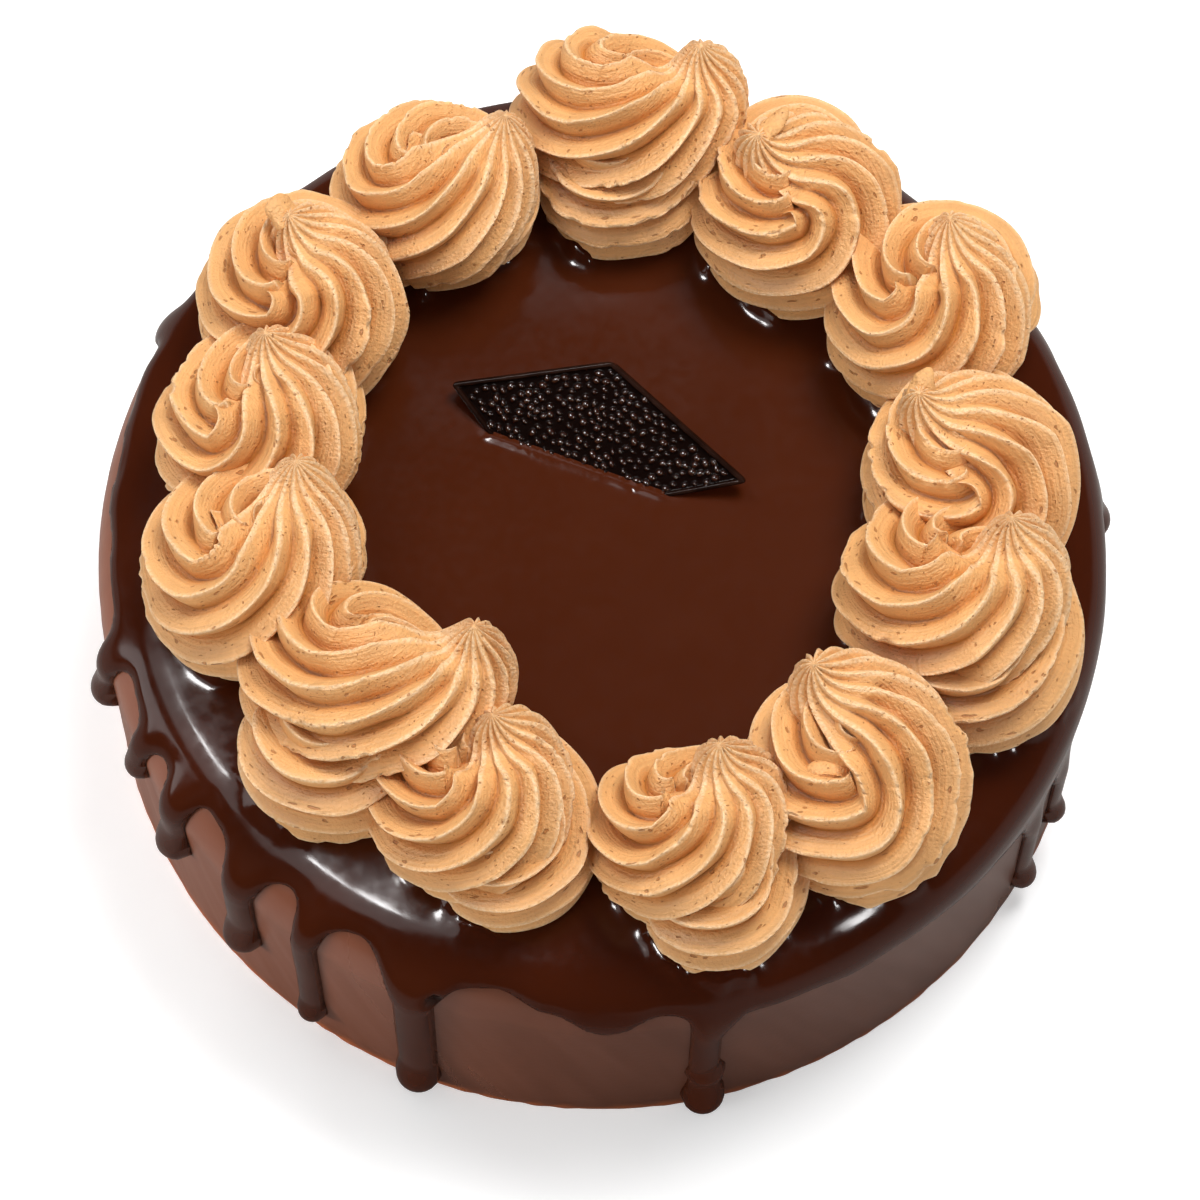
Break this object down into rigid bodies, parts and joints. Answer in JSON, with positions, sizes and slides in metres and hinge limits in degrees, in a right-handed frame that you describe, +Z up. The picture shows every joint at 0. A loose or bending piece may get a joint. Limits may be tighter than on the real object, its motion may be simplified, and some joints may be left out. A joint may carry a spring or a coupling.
{
  "type": "chocolate sponge cake",
  "caption": "Whole round chocolate cake with a dark glaze that drips down its side, a ring of piped cream swirls on top and a small leaning chocolate plaque.",
  "frame": {"origin": "centre of the flat foot of the cake", "axes": "+Z up; -Y is the side that the cream swirls lean away from, which the long drips run down; +X to the right seen from there"},
  "size_m": [0.2223, 0.2227, 0.1108],
  "materials": {
    "side_icing": "satin milk chocolate icing",
    "glaze": "wet-looking dark chocolate glaze",
    "plaque": "pebbled dark chocolate",
    "cream": "soft whipped caramel cream"
  },
  "bodies": {
    "root": {"cake_body": "side_icing", "chocolate_glaze": "glaze", "chocolate_plaque": "plaque", "cream_swirl_01": "cream", "cream_swirl_02": "cream", "cream_swirl_03": "cream", "cream_swirl_04": "cream", "cream_swirl_05": "cream", "cream_swirl_06": "cream", "cream_swirl_07": "cream", "cream_swirl_08": "cream", "cream_swirl_09": "cream", "cream_swirl_10": "cream", "cream_swirl_11": "cream", "cream_swirl_12": "cream", "cream_swirl_13": "cream"}
  },
  "joints": []
}
